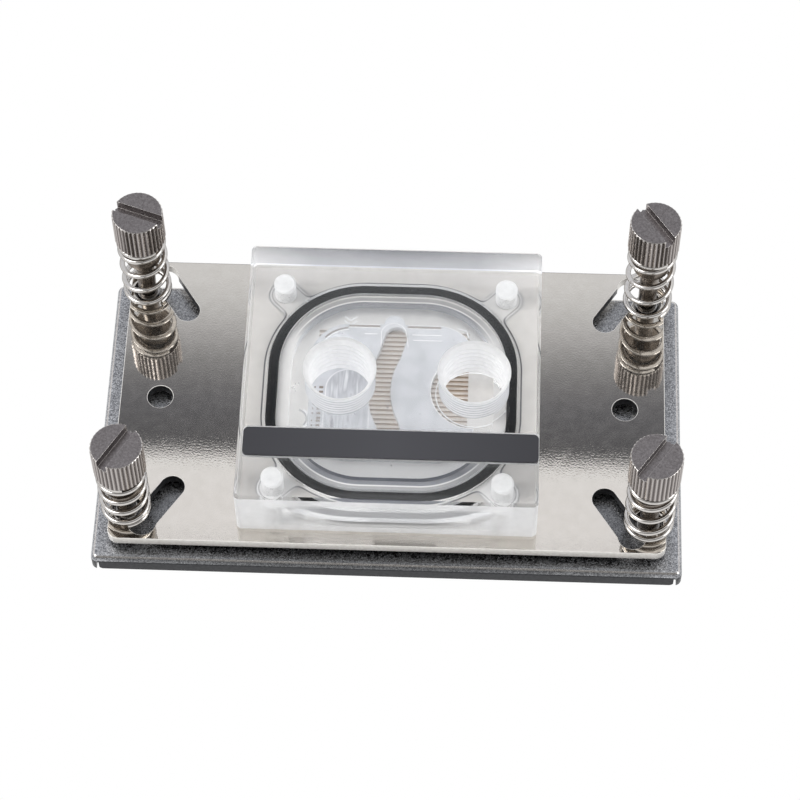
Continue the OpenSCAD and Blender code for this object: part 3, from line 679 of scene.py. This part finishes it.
def build_seal():
    angles = [2 * math.pi * k / 24 for k in range(24)]
    section = [(SEAL_CORD_W / 2 * math.cos(a), PLATE_TOP + SEAT + (SEAL_CORD_H - 2 * SEAT) / 2 * (1 + math.sin(a)))
               for a in angles]
    ring = mesh_object("seal_ring", *lofted([
        square_loop(SEAL_W + 2 * out, SEAL_R + out, z, 40) for out, z in section], ring=True))
    finished(ring, "block", "seal", "o_ring", 60)


def ribbon(points, width, z, height=0.08, ring=False):
    """Flat line along points, as vertices and faces."""
    count = len(points)
    loops = []
    for k, (x, y) in enumerate(points):
        before = points[(k - 1) % count] if ring or k else points[k]
        after = points[(k + 1) % count] if ring or k < count - 1 else points[k]
        dx, dy = after[0] - before[0], after[1] - before[1]
        nx, ny = (side / math.hypot(dx, dy) * width / 2 for side in (-dy, dx))
        left, right = (x + nx, y + ny), (x - nx, y - ny)
        loops.append([(*left, z), (*right, z), (*right, z + height), (*left, z + height)])
    return lofted(loops, ring)


def arc(centre, r, start, end, steps=24):
    angles = [math.radians(start + (end - start) * k / steps) for k in range(steps + 1)]
    return [(centre[0] + r * math.cos(a), centre[1] + r * math.sin(a)) for a in angles]


def build_marks(jet):
    """White outlines, painted highlights along edges, brown gaps and a painted grey shadow on the jet plate and
    beside it, joined to the jet plate's mesh.
    """
    top, recess, floor = (PLATE_TOP + high + SEAT for high in (JET_T, JET_RECESS_T, 0.0))
    white, brown, grey = [], [], []

    def straight(strokes, x0, x1, y, width, z=top):
        strokes.append(ribbon([(x0, y), (x1, y)], width, z))

    # The outline behind the curved slot, and double lines to its left and right.
    bow = [(-2.4, 9.6), (-2.42, 12.4), *arc((-0.1, 12.5), 2.35, 180, 0, 16), (2.4, 12.0), (2.75, 9.6)]
    white.append(ribbon(bow, 0.12, top))
    for x0, x1 in ((-8.6, -2.7), (2.5, 8.8)):
        straight(white, x0, x1, 14.45, 0.12)
        straight(brown, x0, x1, 14.12, 0.42)
        straight(white, x0, x1, 13.8, 0.12)
    for x0, x1, y in ((3.4, 9.0, 12.4), (-5.6, -3.2, 12.4), (3.6, 9.0, 11.2)):
        straight(white, x0, x1, y, 0.16)
    around_left = (-8.0, 7.2)
    brown.append(ribbon(arc(around_left, 6.5, 97, 140), 0.3, top))
    white.append(ribbon(arc(around_left, 6.1, 95, 150), 0.16, top))

    # Dashes one above the other at the jet plate's left edge, one to each fin.
    first_y, dash_x = 3.1, -13.45
    for k in range(19):
        y = first_y - k
        z = recess if math.dist((dash_x, y), PORTS[0]) < JET_RECESS_R else top
        straight(brown, dash_x - 0.4, dash_x + 0.35, y, 0.42, z)
        straight(brown, dash_x - 1.3, dash_x - 1.05, y, 0.3, z)

    # The ring under the right port, an arc in the chamber's left end and arrows at its back, on the cold plate.
    white.append(ribbon(arc(PORTS[1], 7.1, 0, 355, 71), 0.22, floor, 0.1, ring=True))
    left_end = (-17.7, -5.85)
    white.append(ribbon(arc(left_end, 2.4, -56, 56, 16), 0.42, floor))
    grey.append(ribbon(arc(left_end, 2.0, -40, 75, 16), 0.3, floor))
    for y in (17.0, 16.0):
        white.append(ribbon([(-9.6, y), (-8.4, y - 0.9), (-7.2, y)], 0.3, floor))
    white.append(ribbon([(12.0, 14.9), (13.6, 14.4), (14.1, 12.8)], 0.3, floor))

    data = jet.data
    for slot, strokes in (("rim", white), ("mark", brown), ("shade", grey)):
        if MATERIALS[slot].name not in data.materials:
            data.materials.append(MATERIALS[slot])
        index = data.materials.find(MATERIALS[slot].name)
        bm = bmesh.new()
        bm.from_mesh(data)
        for verts, faces in strokes:
            made = [bm.verts.new(Vector(v) * MM) for v in verts]
            for face in faces:
                bm.faces.new([made[i] for i in face]).material_index = index
        bm.to_mesh(data)
        bm.free()


def eased(u, ramp=0.15):
    """Runs from 0 to 1, and starts and ends without a jolt."""
    if u <= 0 or u >= 1:
        return 0.0 if u <= 0 else 1.0
    if u < ramp:
        return u * u / (2 * ramp * (1 - ramp))
    if u > 1 - ramp:
        return 1 - (1 - u) ** 2 / (2 * ramp * (1 - ramp))
    return (u - ramp / 2) / (1 - ramp)


def build_spring(corner):
    """Coil of round wire from the bracket to the screw's head, with its end turns closed."""
    x, y, head_top, start = SCREWS[corner]
    wire_r, sides, rings = WIRE_D / 2, 20, 64
    around = [2 * math.pi * k / sides for k in range(sides)]
    closed_pitch = WIRE_D * 1.05
    rise = head_top - HEAD_H - 2 * COIL_GAP - WIRE_D - closed_pitch * COIL_TURNS
    loops = []
    for i in range(int(COIL_TURNS * rings) + 1):
        t = i / rings
        a = math.radians(start) + 2 * math.pi * t
        opened = eased((t - CLOSED_TURNS) / (COIL_TURNS - 2 * CLOSED_TURNS))
        z = PLATE_TOP + COIL_GAP + wire_r + closed_pitch * t + rise * opened
        loop = []
        for s in around:
            far = COIL_R + wire_r * math.cos(s)
            loop.append((x + far * math.cos(a), y + far * math.sin(a), z + wire_r * math.sin(s)))
        loops.append(loop)
    coil = mesh_object("coil_" + corner, *lofted(loops))
    finished(coil, "screw_" + corner, "spring", "spring_" + corner, 40)


def upright(n, most=0.3):
    return abs(n.z) < most


def bevelled(up, least=0.3, most=0.95):
    return least < up < most


def screw_rules(corner):
    x, y, head_top, _ = SCREWS[corner]
    head_bottom, inner_r = PLATE_TOP + head_top - HEAD_H, HEAD_R - 0.3
    # Painted highlight on the head's bevels, and painted shade and highlight in the knurl.
    return (
        (MATERIALS["collar"], lambda c, n: c.z < head_bottom - 0.05),
        (MATERIALS["lit_edge"], lambda c, n: bevelled(abs(n.z))),
        (material("knurl " + corner, knurl(corner)),
         lambda c, n: upright(n) and math.hypot(c.x - x, c.y - y) > inner_r),
    )


def jet_height(c):
    """The jet plate's underside stands a little over the fins."""
    return c.z + SEAT if c.z < PLATE_TOP + 0.1 else c.z


def fin_height(c):
    """The grooves between the fins look shallow through the top, so their floors are raised."""
    around_fins, play = 16, 0.1
    in_groove = max(abs(c.x), abs(c.y)) < around_fins and FIN_FLOOR - play < c.z < PLATE_TOP - play
    return PLATE_TOP - FIN_SHOWN_DEPTH if in_groove else c.z


def floor_material(n):
    """White to the camera and in reflections, and a pale grey floor to the light."""
    seen = n.math("MAXIMUM", n.math("MAXIMUM", n.ray("Camera"), n.ray("Glossy")), n.ray("Transmission"))
    n.surface(n.blend(seen, n.shader("BsdfDiffuse", {"Color": (0.85, 0.85, 0.85)}),
                      n.shader("Emission", {"Color": WHITE, "Strength": 1.0})))


def sky(n):
    """Bright at the sides, dark above the front and a ramp behind, which the bracket mirrors to the camera. The
    background that the camera sees itself is white."""
    split = n.add("SeparateXYZ", {"Vector": n.add("TexCoord").outputs["Generated"]}).outputs
    height = n.rise(split["Z"], 0.0, 1.0)
    general = n.ramp(height, (0.0, 0.55), (0.3, 0.8), (0.5, 0.95), (1.0, 1.0))
    ahead = n.ramp(height, (0.0, 0.8), (0.35, 0.9), (0.5, 0.25), (0.9, 0.22), (0.96, 1.0))
    slope = n.math("DIVIDE", split["Z"], n.math("MAXIMUM", split["Y"], 0.05))
    back = n.ramp(n.rise(slope, 1.45, 1.80),
                  (0.0, (0.80, 0.815, 0.85)), (0.2, (0.82, 0.84, 0.88)), (0.30, (0.66, 0.68, 0.71)),
                  (0.38, (0.50, 0.51, 0.54)), (0.46, (0.32, 0.33, 0.35)), (0.54, (0.21, 0.215, 0.235)),
                  (0.64, (0.13, 0.135, 0.155)), (0.80, (0.09, 0.093, 0.105)), (0.831, (0.09, 0.093, 0.105)),
                  (0.838, (0.96, 0.98, 1.02)), (1.0, (0.95, 0.96, 1.0)))
    back = n.mixed(n.line(slope, 1.867, 0.0006, 0.0014), back, (0.12, 0.12, 0.13))
    front_share, back_share = n.fade(split["Y"], -0.35, -0.15), n.rise(split["Y"], 0.15, 0.3)
    colour = n.mixed(back_share, n.mixed(front_share, general, ahead), back)
    n.surface(n.blend(n.ray("Camera"), n.shader("Background", {"Color": colour, "Strength": 1.0}),
                      n.shader("Background", {"Color": WHITE, "Strength": 1.0})), "OutputWorld")


def build_lamp(name, place, size, power):
    """Square lamp aimed at the origin, in metres and watts."""
    data = bpy.data.lights.new(name, "AREA")
    data.size, data.energy = size, power
    obj = bpy.data.objects.new(name, data)
    obj.location = Vector(place)
    obj.rotation_euler = (-Vector(place)).to_track_quat("-Z", "Y").to_euler()
    bpy.context.scene.collection.objects.link(obj)


def build_studio():
    half, z = 3000, -3.3 - SEAT  # the back plate's rims stand at -3.3
    corners = [(x, y, z) for x, y in ((-half, -half), (half, -half), (half, half), (-half, half))]
    floor = mesh_object("floor", corners, [(0, 1, 2, 3)])
    floor.data.materials.append(material("white floor", floor_material))
    world = bpy.data.worlds.new("studio")
    bpy.context.scene.world = world
    sky(Nodes(world))
    build_lamp("left key", (-0.55, -0.1, 0.55), 0.35, 2.0)
    build_lamp("right fill", (0.6, -0.2, 0.4), 0.3, 1.0)


def build_camera():
    """Solved from the bracket's holes: angles in degrees, place in millimetres and focal length in pixels."""
    yaw, pitch, roll = (math.radians(a) for a in (-2.83, 58.96, -0.81))
    place, focal, picture, sensor = (15.36, -280.02, 471.64), 2899.4, 800, 36.0
    ahead = Vector((math.sin(yaw) * math.cos(pitch), math.cos(yaw) * math.cos(pitch), -math.sin(pitch)))
    right = Vector((math.cos(yaw), -math.sin(yaw), 0))
    up = right.cross(ahead)
    across = math.cos(roll) * right + math.sin(roll) * up
    upward = -math.sin(roll) * right + math.cos(roll) * up
    data = bpy.data.cameras.new("camera")
    data.sensor_width, data.lens = sensor, focal / picture * sensor
    data.clip_start, data.clip_end = 0.01, 20
    obj = bpy.data.objects.new("camera", data)
    matrix = Matrix((across, upward, -ahead)).transposed().to_4x4()
    matrix.translation = Vector(place) * MM
    obj.matrix_world = matrix
    bpy.context.scene.collection.objects.link(obj)
    bpy.context.scene.camera = obj


build_top()
build_seal()
build_trim()
# The jet plate's bevels on its right get the white rim finish, a painted highlight.
build_marks(remade("jet_plate", "jet", "block", "jet_plate", 0.18, jet_height, painter(
    (MATERIALS["rim"], lambda c, n: bevelled(n.z, 0.2) and c.x > 5))))
remade("cold_plate", "cold", "block", "cold_plate", 0, fin_height, painter(
    (MATERIALS["groove"], lambda c, n: PLATE_TOP - FIN_SHOWN_DEPTH - 0.1 < c.z < PLATE_TOP - SEAT)))
# Painted light on the bracket's edges: a dark back bevel, bright front and back sides and bevels, dark slot walls and
# short ends.
remade("bracket", "nickel_bracket", "block", "bracket", 0.12, paint=painter(
    (MATERIALS["flange"], lambda c, n: n.y > 0.3 and c.y > 25 and bevelled(n.z)),
    (MATERIALS["lit_sheared"], lambda c, n: upright(n) and abs(c.y - BRACKET_Y) > BRIGHT_FROM or bevelled(n.z)),
    (MATERIALS["inner"], lambda c, n: upright(n))))
# Painted shade on the tray's upright faces, and a painted highlight on its upper bevels.
remade("back_plate", "tray", "block", "back_plate", 0.06, paint=painter(
    (MATERIALS["flange"], lambda c, n: upright(n, 0.25)),
    (MATERIALS["lit_edge"], lambda c, n: bevelled(n.z, 0.25, 0.9) and c.z > 0)))
for corner in SCREWS:
    remade("base_screw_" + corner, "foot_screw_" + corner, "block", "base_screw", 0)
    remade("post_" + corner, "stud_" + corner, "block", "post", 0)
    remade("thumbscrew_" + corner, "knob_" + corner, "screw_" + corner, "thumbscrew", 0.05,
           paint=painter(*screw_rules(corner)))
    build_spring(corner)

build_studio()
build_camera()
bpy.context.scene.view_settings.view_transform = "Standard"
